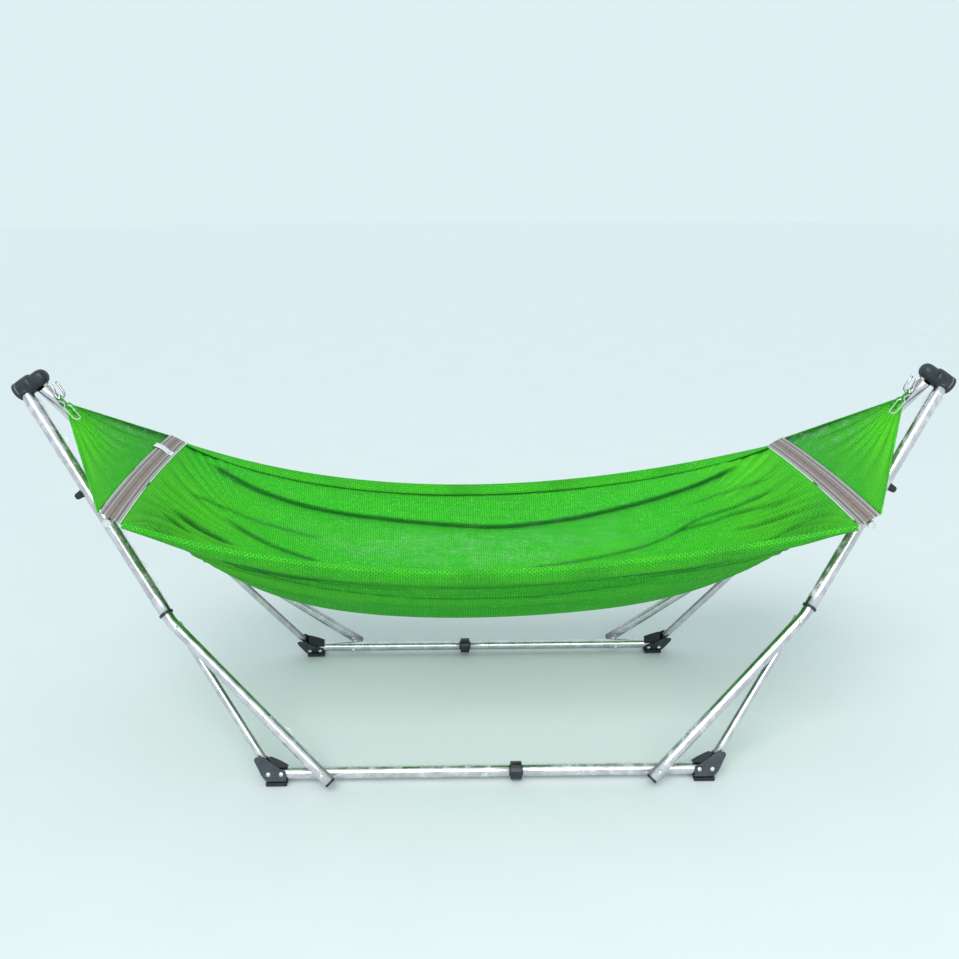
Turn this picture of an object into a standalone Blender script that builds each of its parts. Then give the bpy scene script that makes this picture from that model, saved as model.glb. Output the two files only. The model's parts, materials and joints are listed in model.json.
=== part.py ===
"""Hammock on a folding steel stand.

Frame: metres, +Z up, X along the hammock, the open front at -Y, origin on the floor under
the middle of the stand. Each side frame is drawn flat in its own plane (local X along the
stand, local Z up the plane, local -Y outwards), and an empty on the line through the two heads
leans it outwards. The rear frame is the front frame turned half a turn about Z.
"""
import math

import bmesh
import bpy
from mathutils import Matrix, Vector

# ---------------------------------------------------------------- driving dimensions (metres)
HEAD_HEIGHT = 1.050          # head pins above the floor
HALF_LENGTH = 1.303          # stand centre to the middle of a head
LEAN = math.radians(23.33)   # each side frame leans this far from upright
HEAD_OFFSET = 0.026          # front caps sit this far outside, rear caps inside, along X

POLE_RADIUS = 0.0175
LEG_RADIUS = 0.016
RAIL_RADIUS = 0.016
STRUT_RADIUS = 0.0115
WALL = 0.0012                # steel tube wall
GAP = 0.0003                 # clearance between touching pieces
TUBE_SIDES = 18

BEND = Vector((0.8839, 0.0, -0.6751))      # where pole and leg lines cross, in the frame plane
LEG_END = Vector((0.4429, 0.0, -1.1132))   # bottom end of a leg
LEG_BEND_RADIUS = 0.120
MOUTH_BACK = 0.030           # the pole's mouth stops this far before the bend
LEG_INSERT = 0.060           # leg length pushed up inside the pole
POLE_START = {True: 0.043, False: 0.021}    # top of a front or rear pole, from the head pin
SOCKET_END = {True: 0.064, False: 0.037}    # mouth of a front or rear cap's socket
BARREL_RADIUS = 0.0235
SOCKET_RADIUS = 0.0202

RAIL_IN = 0.0413             # the rail and strut feet lie this far inside the leg plane
RAIL_CENTRE_HEIGHT = 0.028   # rail axis above the floor
RAIL_END = 0.6263            # half length of a rail
RAIL_SPLIT = 0.070           # where the long and the short rail piece meet
FOOT_SCREW_X = 0.6138        # screw through a foot bracket and the end of its rail
STRUT_FOOT_X = 0.6285        # rivet at the lower end of a strut
STRUT_FOOT_RISE = 0.033      # that rivet above the rail's axis
STRUT_TOP_SHARE = 0.0386     # strut bolt, as a share of the way down the leg
STRUT_TOP_IN = 0.0287        # the strut lies against the leg at its upper end

BOLT_RADIUS = 0.003
HOLE_RADIUS = 0.0035
BOLT_HEAD_RADIUS = 0.0068
BOLT_HEAD = 0.0045

CHEEK_OUT = 0.0195           # foot bracket half width
CHEEK_IN = 0.0165
SHOE_HEIGHT = 0.0105
SHOE_HALF_WIDTH = 0.0235

HOOK_RADIUS = 0.0035
HOOK_HOLE_RADIUS = 0.0045
SNAP_WIRE = 0.0021           # snap hook wire radius

BAR_RADIUS = 0.011           # spreader bar
BAR_HALF_LENGTH = 0.402
BAND_WIDTH = 0.056
BAND_THICKNESS = 0.0025
BAND_BOW = 0.009             # the net pulls each band and its bar into a bow, towards the hook
BAND_TILT = math.radians(32)  # the webbing bands rise outwards
NET_THICKNESS = 0.004
NET_HALF_WIDTH = 0.405
NET_WAIST = 0.065            # how far the rims draw in at the middle
RIM_SAG_REAR = 0.118
RIM_SAG_FRONT = 0.152
SAG_SKEW = 0.2               # the rims hang lower towards the left end
BELLY_DEPTH = 0.282
BELLY_FLATNESS = 5           # how evenly the belly runs from end to end
APEX = Vector((1.204, 0.0, 0.988))
APEX_HALF_WIDTH = 0.012
END_PANEL_SAG = 0.022

# centre of each webbing band: x, z and its turn about Z
BANDS = {"left": (-0.995, 0.780, math.radians(3.2)), "right": (0.980, 0.755, 0.0)}

HOOK_BEND = Vector((1.2225, 0.0, -0.0275))  # centre of a J-hook's bend, from the head pins
HOOK_BEND_RADIUS = 0.0135
SNAP_LIE = Vector((-0.62, -0.56, -0.44)).normalized()  # how a snap hook lies, on the +X side
SNAP_EYE_RADIUS = 0.0095
SNAP_SHANK_END = 0.036
SNAP_LENGTH = 0.104
SNAP_LOOP_HALF_WIDTH = 0.0105

# ---------------------------------------------------------------- scene and materials
for old in list(bpy.data.objects):
    bpy.data.objects.remove(old, do_unlink=True)

parts = bpy.data.collections.new("hammock_on_stand")
guides = bpy.data.collections.new("cutters")
bpy.context.scene.collection.children.link(parts)
bpy.context.scene.collection.children.link(guides)


def material(name, colour, roughness, metallic=0.0):
    mat = bpy.data.materials.new(name)
    mat.use_nodes = True
    shader = mat.node_tree.nodes["Principled BSDF"]
    shader.inputs["Base Color"].default_value = (*colour, 1.0)
    shader.inputs["Roughness"].default_value = roughness
    shader.inputs["Metallic"].default_value = metallic
    return mat


STEEL = material("polished_steel", (0.62, 0.64, 0.64), 0.18, 1.0)
ZINC = material("zinc_plated_steel", (0.70, 0.70, 0.68), 0.30, 1.0)
BLACK_PLASTIC = material("black_plastic", (0.030, 0.038, 0.048), 0.45)
SLATE_PAINT = material("slate_bracket", (0.055, 0.070, 0.085), 0.50)
RUBBER = material("black_rubber", (0.012, 0.014, 0.015), 0.75)
NET = material("green_net", (0.045, 0.55, 0.030), 0.70)
WEBBING = material("striped_webbing", (0.30, 0.25, 0.26), 0.85)


# ---------------------------------------------------------------- helpers
def link(obj, mat=None, collection=parts):
    collection.objects.link(obj)
    if mat:
        obj.data.materials.append(mat)
    if collection is guides:
        obj.hide_render = True
        obj.display_type = "WIRE"
    return obj


def mesh_object(name, bm, mat=None, collection=parts):
    mesh = bpy.data.meshes.new(name)
    bm.to_mesh(mesh)
    bm.free()
    obj = link(bpy.data.objects.new(name, mesh), mat, collection)
    smooth(obj)
    return obj


def smooth(obj, angle=math.radians(40)):
    obj.data.shade_smooth()
    obj.data.set_sharp_from_angle(angle=angle)


def aim(start, end):
    """A matrix at start whose +Z points at end."""
    turn = (Vector(end) - Vector(start)).to_track_quat("Z", "Y")
    return Matrix.Translation(start) @ turn.to_matrix().to_4x4()


def cylinder(name, start, end, radius, mat=None, collection=parts, sides=TUBE_SIDES, caps=True):
    bm = bmesh.new()
    length = (Vector(end) - Vector(start)).length
    bmesh.ops.create_cone(bm, cap_ends=caps, segments=sides, radius1=radius, radius2=radius,
                          depth=length, matrix=Matrix.Translation((0, 0, length / 2)))
    obj = mesh_object(name, bm, mat, collection)
    obj.matrix_local = aim(start, end)
    return obj


def solidify(obj, thickness, offset=-1.0):
    mod = obj.modifiers.new("wall", "SOLIDIFY")
    mod.thickness = thickness
    mod.offset = offset
    return obj


def cut(obj, *cutters, operation="DIFFERENCE"):
    for cutter in cutters:
        mod = obj.modifiers.new(operation.lower(), "BOOLEAN")
        mod.operation = operation
        mod.solver = "EXACT"
        mod.object = cutter
    return obj


def bevel(obj, width, segments=2, angle=math.radians(40)):
    mod = obj.modifiers.new("rounded", "BEVEL")
    mod.width = width
    mod.segments = segments
    mod.limit_method = "ANGLE"
    mod.angle_limit = angle
    return obj


def straight_tube(name, start, end, radius, mat=STEEL):
    return solidify(cylinder(name, start, end, radius, mat, caps=False), WALL)


def swept(name, points, radius, mat, fill_caps, bevel_resolution):
    """A round bar or open tube along a list of points, as a mesh."""
    curve = bpy.data.curves.new(name + "_path", "CURVE")
    curve.dimensions = "3D"
    curve.bevel_depth = radius
    curve.bevel_resolution = bevel_resolution
    curve.use_fill_caps = fill_caps
    spline = curve.splines.new("POLY")
    spline.points.add(len(points) - 1)
    for point, place in zip(spline.points, points):
        point.co = (*place, 1.0)
    guide = bpy.data.objects.new(name + "_path", curve)
    bpy.context.scene.collection.objects.link(guide)
    depsgraph = bpy.context.evaluated_depsgraph_get()
    mesh = bpy.data.meshes.new_from_object(guide.evaluated_get(depsgraph))
    bpy.data.objects.remove(guide, do_unlink=True)
    bm = bmesh.new()
    bm.from_mesh(mesh)
    bmesh.ops.remove_doubles(bm, verts=bm.verts, dist=1e-5)
    bm.to_mesh(mesh)
    bm.free()
    obj = link(bpy.data.objects.new(name, mesh), mat)
    smooth(obj)
    return obj


def turned(name, outline, start, end, mat, steps=16, collection=parts):
    """Turn (radius, height) points about the line from start to end; they run top to bottom."""
    bm = bmesh.new()
    verts = [bm.verts.new((radius, 0.0, height)) for radius, height in outline]
    for one, two in zip(verts, verts[1:]):
        bm.edges.new((one, two))
    obj = mesh_object(name, bm, mat, collection)
    screw = obj.modifiers.new("turn", "SCREW")
    screw.axis = "Z"
    screw.steps = screw.render_steps = steps
    screw.use_merge_vertices = True
    screw.merge_threshold = 1e-5
    screw.use_smooth_shade = True
    obj.matrix_local = aim(start, end)
    return obj


def prism(name, outline, half_width, mat=None, collection=parts):
    """A flat outline in local X and Z, extruded half_width each way along local Y."""
    curve = bpy.data.curves.new(name + "_outline", "CURVE")
    curve.dimensions = "2D"
    curve.fill_mode = "BOTH"
    curve.extrude = half_width
    spline = curve.splines.new("POLY")
    spline.points.add(len(outline) - 1)
    for point, (x, z) in zip(spline.points, outline):
        point.co = (x, z, 0.0, 1.0)
    spline.use_cyclic_u = True
    guide = bpy.data.objects.new(name + "_outline", curve)
    bpy.context.scene.collection.objects.link(guide)
    depsgraph = bpy.context.evaluated_depsgraph_get()
    mesh = bpy.data.meshes.new_from_object(guide.evaluated_get(depsgraph))
    bpy.data.objects.remove(guide, do_unlink=True)
    bm = bmesh.new()
    bm.from_mesh(mesh)
    bmesh.ops.remove_doubles(bm, verts=bm.verts, dist=1e-5)
    bmesh.ops.rotate(bm, verts=bm.verts, matrix=Matrix.Rotation(math.pi / 2, 3, "X"))
    bmesh.ops.recalc_face_normals(bm, faces=bm.faces)
    bm.to_mesh(mesh)
    bm.free()
    return link(bpy.data.objects.new(name, mesh), mat, collection)


def block(name, low, high, mat=None, collection=parts):
    bm = bmesh.new()
    bmesh.ops.create_cube(bm, size=1.0)
    size = Vector(high) - Vector(low)
    bmesh.ops.scale(bm, vec=size, verts=bm.verts)
    bmesh.ops.translate(bm, vec=(Vector(high) + Vector(low)) / 2, verts=bm.verts)
    return mesh_object(name, bm, mat, collection)


def arc(centre, radius, first, last, count):
    """Points on an arc in the X-Z plane, angles in degrees from +X towards +Z."""
    angles = [math.radians(first + (last - first) * i / count) for i in range(count + 1)]
    return [Vector((centre[0] + radius * math.cos(a), 0.0, centre[1] + radius * math.sin(a)))
            for a in angles]


def flip(point, side):
    """side is +1 on the +X half and -1 on the mirrored half."""
    return Vector((point[0] * side, point[1], point[2]))


# ---------------------------------------------------------------- side frames
def side_empty(name, turn):
    empty = bpy.data.objects.new(name, None)
    empty.location = (0.0, 0.0, HEAD_HEIGHT)
    empty.rotation_euler = (-LEAN, 0.0, turn)
    guides.objects.link(empty)
    return empty


RAIL_Z = -(HEAD_HEIGHT - RAIL_CENTRE_HEIGHT - RAIL_IN * math.sin(LEAN)) / math.cos(LEAN)
STRUT_TOP = BEND.lerp(LEG_END, STRUT_TOP_SHARE)
STRUT_TOP.y = STRUT_TOP_IN
LEG_BOLT = BEND.lerp(LEG_END, (RAIL_Z - BEND.z) / (LEG_END.z - BEND.z))
STRUT_FOOT = Vector((STRUT_FOOT_X, RAIL_IN, RAIL_Z + STRUT_FOOT_RISE))
FOOT_SCREW = Vector((FOOT_SCREW_X, RAIL_IN, RAIL_Z))


def leg_path(top):
    """The leg's centre line: straight inside the pole, one bend, straight to the rail."""
    up = (top - BEND).normalized()
    down = (LEG_END - BEND).normalized()
    half_turn = (math.pi - up.angle(down)) / 2
    reach = LEG_BEND_RADIUS * math.tan(half_turn)
    first, last = BEND + up * reach, BEND + down * reach
    bend = [first.lerp(BEND, t).lerp(BEND.lerp(last, t), t) for t in (0.0, 0.33, 0.67, 1.0)]
    return [BEND + up * (MOUTH_BACK + LEG_INSERT)] + bend + [LEG_END]


def cross_bolt(name, place, near, far, collars=()):
    """A bolt along local Y through (x, z) of place; collars are (from, to, radius) in local Y."""
    head_side = near - BOLT_HEAD
    outline = [(0.0, far + BOLT_HEAD), (0.62 * BOLT_HEAD_RADIUS, far + 0.9 * BOLT_HEAD),
               (BOLT_HEAD_RADIUS, far + 0.35 * BOLT_HEAD), (BOLT_HEAD_RADIUS, far),
               (BOLT_RADIUS, far)]
    for low, high, radius in collars:
        outline += [(BOLT_RADIUS, high), (radius, high), (radius, low), (BOLT_RADIUS, low)]
    outline += [(BOLT_RADIUS, near), (BOLT_HEAD_RADIUS, near),
                (BOLT_HEAD_RADIUS, near - 0.35 * BOLT_HEAD),
                (0.62 * BOLT_HEAD_RADIUS, near - 0.9 * BOLT_HEAD), (0.0, head_side)]
    start = Vector((place.x, 0.0, place.z))
    return turned(name, outline, start, start + Vector((0, 1, 0)), ZINC, steps=10)


def drill(name, place, low, high):
    """A cutter for one bolt hole along local Y."""
    start = Vector((place.x, low, place.z))
    end = Vector((place.x, high, place.z))
    return cylinder(name, start, end, HOLE_RADIUS, collection=guides, sides=8)


def head_cap(name, pin_centre, pole_direction, is_front):
    """A plastic cap: a barrel round the head pin and a socket over the pole's top."""
    along = Vector((1, 0, 0))
    half = HEAD_OFFSET - GAP
    cap = bevel(cylinder(name, pin_centre - along * half, pin_centre + along * half,
                         BARREL_RADIUS, BLACK_PLASTIC), 0.006, 2)
    socket = cylinder(name + "_socket", pin_centre,
                      pin_centre + pole_direction * SOCKET_END[is_front], SOCKET_RADIUS,
                      collection=guides)
    bore = cylinder(name + "_bore",
                    pin_centre + pole_direction * (POLE_START[is_front] - GAP),
                    pin_centre + pole_direction * 0.08, POLE_RADIUS + GAP, collection=guides)
    pin_hole = cylinder(name + "_pin_hole", pin_centre - along * 0.08,
                        pin_centre + along * 0.08, HOOK_HOLE_RADIUS, collection=guides, sides=16)
    cut(cap, socket, operation="UNION")
    cutters = [bore, pin_hole]
    if is_front:
        inboard = -along if pin_centre.x > 0 else along
        neighbour = pin_centre + inboard * half
        cutters += [cylinder(name + "_neighbour", neighbour, neighbour + inboard * 0.06,
                             BARREL_RADIUS + 2 * GAP, collection=guides)]
    cut(cap, *cutters)
    return [cap, socket] + cutters


BRACKET_OUTLINE = [(0.049, -0.0195), (-0.004, -0.0195), (-0.0115, -0.012), (-0.0195, -0.002),
                   (-0.0303, 0.019), (-0.0395, 0.036), (-0.0388, 0.043), (-0.034, 0.0465),
                   (-0.0142, 0.0465), (0.0122, 0.0271), (0.0328, 0.0145), (0.0477, 0.0075)]


def foot(name, side):
    """Bracket at one end of a rail: one screw holds the rail, a rivet holds the strut."""
    outline = [(FOOT_SCREW.x * side - x * side, RAIL_Z + z) for x, z in BRACKET_OUTLINE]
    bracket = prism(name + "_foot_bracket", outline, CHEEK_OUT, SLATE_PAINT)
    bracket.location.y = RAIL_IN
    reach = 0.12
    slot = block(name + "_bracket_slot",
                 (FOOT_SCREW.x * side - reach, RAIL_IN - CHEEK_IN, RAIL_Z - CHEEK_IN),
                 (FOOT_SCREW.x * side + reach, RAIL_IN + CHEEK_IN, RAIL_Z + reach),
                 collection=guides)
    screw_place = flip(FOOT_SCREW, side)
    screw_hole = drill(name + "_foot_screw_hole", screw_place, RAIL_IN - 0.05, RAIL_IN + 0.05)
    cut(bracket, slot, screw_hole)
    across = Vector((0.0, CHEEK_IN + 0.0015, 0.0))
    rivet = cylinder(name + "_strut_rivet", flip(STRUT_FOOT, side) - across,
                     flip(STRUT_FOOT, side) + across, BOLT_RADIUS, collection=guides, sides=12)
    cut(bracket, rivet, operation="UNION")
    screw = cross_bolt(name + "_foot_pin", screw_place, RAIL_IN - CHEEK_OUT - GAP,
                       RAIL_IN + CHEEK_OUT + GAP)
    return [bracket, slot, screw_hole, rivet, screw]


def half_frame(prefix, side, empty, is_front):
    """Pole, collar, leg, strut, foot and bolts on one half of a side frame."""
    pieces = []
    shift = HEAD_OFFSET if is_front else -HEAD_OFFSET
    pin_centre = Vector((HALF_LENGTH + shift, 0.0, 0.0))
    down = (BEND - pin_centre).normalized()
    mouth = BEND - down * MOUTH_BACK

    pieces += [straight_tube(prefix + "_pole", flip(pin_centre + down * POLE_START[is_front], side),
                             flip(mouth, side), POLE_RADIUS)]
    pieces += head_cap(prefix + "_head_cap", flip(pin_centre, side), flip(down, side), is_front)

    collar_in, collar_out, collar_length = LEG_RADIUS + 3 * GAP, 0.0205, 0.0065
    collar_ring = [(collar_out, collar_length), (collar_out, 0.0), (collar_in, 0.0),
                   (collar_in, collar_length), (collar_out, collar_length)]
    collar_start = flip(mouth + down * GAP, side)
    pieces += [turned(prefix + "_pole_collar", collar_ring, collar_start,
                      collar_start + flip(down, side), BLACK_PLASTIC, steps=16)]

    path = [flip(p, side) for p in leg_path(pin_centre)]
    leg = swept(prefix + "_leg", path, LEG_RADIUS, STEEL, False, 7)
    solidify(leg, WALL)
    top_place, rail_place = flip(STRUT_TOP, side), flip(LEG_BOLT, side)
    leg_holes = [drill(prefix + "_leg_top_hole", top_place, -0.03, 0.022),
                 drill(prefix + "_leg_rail_hole", rail_place, -0.03, 0.09)]
    cut(leg, *leg_holes)
    pieces += [leg] + leg_holes
    if is_front:
        inward = (LEG_END - BEND).normalized()
        end = flip(LEG_END + inward * GAP, side)
        plug = [(0.0, 0.0062), (LEG_RADIUS - 0.002, 0.0062), (LEG_RADIUS, 0.0045),
                (LEG_RADIUS, 0.0), (0.0142, 0.0), (0.0142, -0.012), (0.0, -0.012)]
        pieces += [turned(prefix + "_leg_end_plug", plug, end, end + flip(inward, side),
                          BLACK_PLASTIC, steps=20)]

    strut_line = (STRUT_TOP - STRUT_FOOT).normalized()
    strut = straight_tube(prefix + "_strut", flip(STRUT_FOOT - strut_line * 0.010, side),
                          flip(STRUT_TOP + strut_line * 0.014, side), STRUT_RADIUS)
    strut_holes = [drill(prefix + "_strut_top_hole", top_place, 0.012, 0.07),
                   drill(prefix + "_strut_foot_hole", flip(STRUT_FOOT, side), 0.01, 0.08)]
    cut(strut, *strut_holes)
    pieces += [strut] + strut_holes

    pieces += [cross_bolt(prefix + "_strut_bolt", top_place, -LEG_RADIUS - GAP,
                          STRUT_TOP_IN + STRUT_RADIUS + 2 * GAP)]
    pieces += [cross_bolt(prefix + "_leg_bolt", rail_place, -LEG_RADIUS - GAP,
                          RAIL_IN + RAIL_RADIUS + GAP,
                          [(LEG_RADIUS + GAP, RAIL_IN - RAIL_RADIUS - GAP, 0.008)])]
    foot_pieces = foot(prefix, side)
    pieces += foot_pieces
    if is_front:
        pieces += [bumper(prefix, pin_centre, down, side)]
    for piece in pieces:
        piece.parent = empty
    return [leg_holes[1], foot_pieces[2]]


def bumper(prefix, pin_centre, down, side):
    """A rubber buffer on the outer underside of a front pole."""
    across = Vector((down.z, 0.0, -down.x))
    if across.x < 0:
        across = -across
    seat = pin_centre + down * 0.365 + across * (POLE_RADIUS + GAP)
    outline = [(0.0, 0.022), (0.0065, 0.021), (0.0095, 0.017), (0.0105, 0.006), (0.0120, 0.0),
               (0.0, 0.0)]
    start = flip(seat, side)
    return turned(prefix + "_pole_bumper", outline, start, start + flip(across, side), RUBBER)


def side_frame(where, names, turn, is_front):
    """One whole side: two half frames, two rail pieces and their coupler."""
    empty = side_empty(where + "_frame_axis", turn)
    rail_holes = [half_frame(names[0], -1, empty, is_front),
                  half_frame(names[1], 1, empty, is_front)]
    split = Vector((RAIL_SPLIT, RAIL_IN, RAIL_Z))
    half_gap = Vector((0.0005, 0.0, 0.0))
    ends = [Vector((-RAIL_END, RAIL_IN, RAIL_Z)), Vector((RAIL_END, RAIL_IN, RAIL_Z))]
    long_rail = straight_tube(where + "_rail_long", ends[0], split - half_gap, RAIL_RADIUS)
    short_rail = straight_tube(where + "_rail_short", split + half_gap, ends[1], RAIL_RADIUS)
    cut(long_rail, *rail_holes[0])
    cut(short_rail, *rail_holes[1])
    inner = RAIL_RADIUS + GAP
    ring = [(0.0235, 0.0155), (0.0250, 0.0140), (0.0250, -0.0140), (0.0235, -0.0155),
            (inner, -0.0155), (inner, 0.0155), (0.0235, 0.0155)]
    coupler = turned(where + "_rail_coupler", ring, split, split + Vector((1, 0, 0)),
                     BLACK_PLASTIC, steps=TUBE_SIDES)
    for piece in (long_rail, short_rail, coupler):
        piece.parent = empty
    return empty


front_axis = side_frame("front", ("left_front", "right_front"), 0.0, True)
rear_axis = side_frame("rear", ("right_rear", "left_rear"), math.pi, False)
bpy.context.view_layer.update()


# ---------------------------------------------------------------- rubber shoes
def foot_shoe(name, empty, side):
    """Level rubber shoe under a foot bracket, with a bed cut for the leaning bracket."""
    foot_centre = empty.matrix_world @ flip(FOOT_SCREW, side)
    inward = -1.0 if foot_centre.x > 0 else 1.0
    toe, heel = foot_centre.x - inward * 0.008, foot_centre.x + inward * 0.050
    low_x, high_x = sorted((toe, heel))
    shoe_block = block(name + "_foot_shoe", (low_x, foot_centre.y - SHOE_HALF_WIDTH, 0.0),
                       (high_x, foot_centre.y + SHOE_HALF_WIDTH, SHOE_HEIGHT), RUBBER)
    bevel(shoe_block, 0.002, 1)
    clearance = CHEEK_OUT + GAP
    bed = block(name + "_shoe_bed",
                (-0.09, RAIL_IN - clearance, -clearance), (0.09, RAIL_IN + clearance, 0.06),
                collection=guides)
    bed.parent = empty
    bed.location = (FOOT_SCREW.x * side, 0.0, RAIL_Z)
    cut(shoe_block, bed)


for name, empty, side in (("left_front", front_axis, -1), ("right_front", front_axis, 1),
                          ("right_rear", rear_axis, -1), ("left_rear", rear_axis, 1)):
    foot_shoe(name, empty, side)


# ---------------------------------------------------------------- hooks
HOOK_REST = Vector((HOOK_BEND.x, 0.0, HEAD_HEIGHT + HOOK_BEND.z - HOOK_BEND_RADIUS))


def j_hook(name, side):
    """The head pin: a steel rod through both caps, bent down into a J on the inboard side."""
    outer = HALF_LENGTH + 2 * HEAD_OFFSET + 0.006
    inner = HALF_LENGTH - 2 * HEAD_OFFSET - 0.001
    points = [Vector((outer, 0, 0)), Vector((inner, 0, 0)), Vector((inner - 0.008, 0, -0.0025))]
    points += arc((HOOK_BEND.x, HOOK_BEND.z), HOOK_BEND_RADIUS, 25, -180, 9)
    points += [Vector((HOOK_BEND.x - 0.0165, 0.0, 0.006))]
    path = [flip(p + Vector((0, 0, HEAD_HEIGHT)), side) for p in points]
    return swept(name, path, HOOK_RADIUS, STEEL, True, 4)


def snap_hook(name, side):
    """One bent wire: an eye round the J-hook, a shank, and a long closed loop on the net."""
    across = Vector((0, 0, 1)).cross(SNAP_LIE).normalized()
    rise = SNAP_LIE.cross(across).normalized()
    # the eye stands square to the J-hook, and the shank twists out of it
    leave = Vector((0, SNAP_LIE.y, SNAP_LIE.z)).normalized()
    over = leave.cross(Vector((1, 0, 0)))
    points = []
    for step in range(11):
        turn = math.radians(38 + 322 * step / 10)
        points.append(HOOK_REST + SNAP_EYE_RADIUS * (math.cos(turn) * leave
                                                     + math.sin(turn) * over))
    corner = SNAP_LOOP_HALF_WIDTH
    top, bottom = SNAP_SHANK_END + corner, SNAP_LENGTH - corner
    points.append(HOOK_REST + SNAP_LIE * (SNAP_SHANK_END - 0.012) - rise * 0.001)
    for centre, first, last in ((top, 150, 90), (bottom, 90, -90), (top, -90, -158)):
        for step in range(5):
            turn = math.radians(first + (last - first) * step / 4)
            points.append(HOOK_REST + SNAP_LIE * (centre + corner * math.cos(turn))
                          + across * corner * math.sin(turn))
    return swept(name, [flip(p, side) for p in points], SNAP_WIRE, ZINC, True, 2)


for side_name, side in (("left", -1), ("right", 1)):
    j_hook(side_name + "_hook", side)
    snap_hook(side_name + "_snap_hook", side)


# ---------------------------------------------------------------- hammock
def strip_frame(side_name):
    """Centre, length direction, outward-up direction and normal of a webbing band's strip."""
    x, z, turn = BANDS[side_name]
    spin = Matrix.Rotation(turn, 3, "Z")
    outward = 1.0 if x > 0 else -1.0
    along = spin @ Vector((0, 1, 0))
    up = spin @ Vector((outward * math.cos(BAND_TILT), 0, math.sin(BAND_TILT)))
    normal = (along.cross(up) * -outward).normalized()
    if normal.z < 0:
        normal = -normal
    return Vector((x, 0, z)), along, up, normal


def bow(across):
    return BAND_BOW * (1 - across * across)


def strip_point(side_name, across, reach):
    """A point on the net under a band: across is -1 front to 1 rear, reach is metres outwards."""
    centre, along, up, _ = strip_frame(side_name)
    return centre + along * (across * NET_HALF_WIDTH) + up * (reach + bow(across))


def bed_point(t, across):
    """The bed between the bands: t is -1 left to 1 right, across is -1 front to 1 rear."""
    reach = -BAND_WIDTH / 2 - 0.002
    left, right = strip_point("left", across, reach), strip_point("right", across, reach)
    place = left.lerp(right, (t + 1) / 2)
    rim_sag = RIM_SAG_FRONT + (RIM_SAG_REAR - RIM_SAG_FRONT) * (across + 1) / 2
    place.z -= rim_sag * (1 - t * t) * (1 - SAG_SKEW * t)
    place.z -= BELLY_DEPTH * (1 - abs(t) ** BELLY_FLATNESS) * (1 - across * across)
    place.y *= 1 - NET_WAIST / NET_HALF_WIDTH * (1 - t * t)
    return place


def panel_point(side_name, r, across):
    """An end panel: r is 0 at the band and 1 at the gathered tip by the hook."""
    start = strip_point(side_name, across, BAND_WIDTH / 2 + 0.002)
    tip = flip(APEX, math.copysign(1, start.x)) + Vector((0, across * APEX_HALF_WIDTH, 0))
    place = start.lerp(tip, r)
    place.z -= END_PANEL_SAG * 4 * r * (1 - r) * (1 - across * across)
    return place


def net_rows(columns):
    """Rows of points from the left tip to the right tip."""
    spread = [2 * i / columns - 1 for i in range(columns + 1)]
    shares = (1.0, 0.75, 0.4, 0.0)
    bed = (-1.0, -0.96, -0.88, -0.75, -0.5, -0.25)
    bed = bed + (0.0,) + tuple(-t for t in reversed(bed))
    rows = [[panel_point("left", r, a) for a in spread] for r in shares]
    rows += [[bed_point(t, a) for a in spread] for t in bed]
    rows += [[panel_point("right", r, a) for a in spread] for r in reversed(shares)]
    return rows


def net():
    """The net as one thin sheet: two gathered end panels and the bed between the bands."""
    rows = net_rows(8)
    bm = bmesh.new()
    grid = [[bm.verts.new(point) for point in row] for row in rows]
    for row, following in zip(grid, grid[1:]):
        for i in range(len(row) - 1):
            bm.faces.new((row[i], following[i], following[i + 1], row[i + 1]))
    bmesh.ops.recalc_face_normals(bm, faces=bm.faces)
    if sum(face.normal.z for face in bm.faces) < 0:
        bmesh.ops.reverse_faces(bm, faces=bm.faces)
    return solidify(mesh_object("hammock_net", bm, NET), NET_THICKNESS)


def bowed_line(side_name, half_length, lift, count=8):
    """Points along a strip's bowed middle line, lifted off its plane."""
    centre, along, up, normal = strip_frame(side_name)
    shares = [2 * i / count - 1 for i in range(count + 1)]
    return [centre + along * (a * half_length) + up * bow(a) + normal * lift for a in shares]


def band(side_name):
    """A striped webbing band lying on the net, along the spreader bar."""
    up = strip_frame(side_name)[2]
    half = up * BAND_WIDTH / 2
    line = bowed_line(side_name, NET_HALF_WIDTH + 0.004, 0.001 + BAND_THICKNESS)
    bm = bmesh.new()
    pairs = [(bm.verts.new(point - half), bm.verts.new(point + half)) for point in line]
    for first, following in zip(pairs, pairs[1:]):
        bm.faces.new((first[0], first[1], following[1], following[0]))
    bmesh.ops.recalc_face_normals(bm, faces=bm.faces)
    if sum(face.normal.z for face in bm.faces) < 0:
        bmesh.ops.reverse_faces(bm, faces=bm.faces)
    solidify(mesh_object(side_name + "_webbing_band", bm, WEBBING), BAND_THICKNESS)


def spreader(side_name):
    """The spreader bar under the net, below its webbing band."""
    line = bowed_line(side_name, BAR_HALF_LENGTH, -(NET_THICKNESS + BAR_RADIUS + 0.0015))
    swept(side_name + "_spreader_bar", line, BAR_RADIUS, ZINC, True, 3)


net()
for side_name in BANDS:
    band(side_name)
    spreader(side_name)
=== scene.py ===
"""Looks of a hammock on a folding steel stand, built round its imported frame."""
import json
import math

import bmesh
import bpy
import numpy as np
from mathutils import Matrix, Vector

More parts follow.
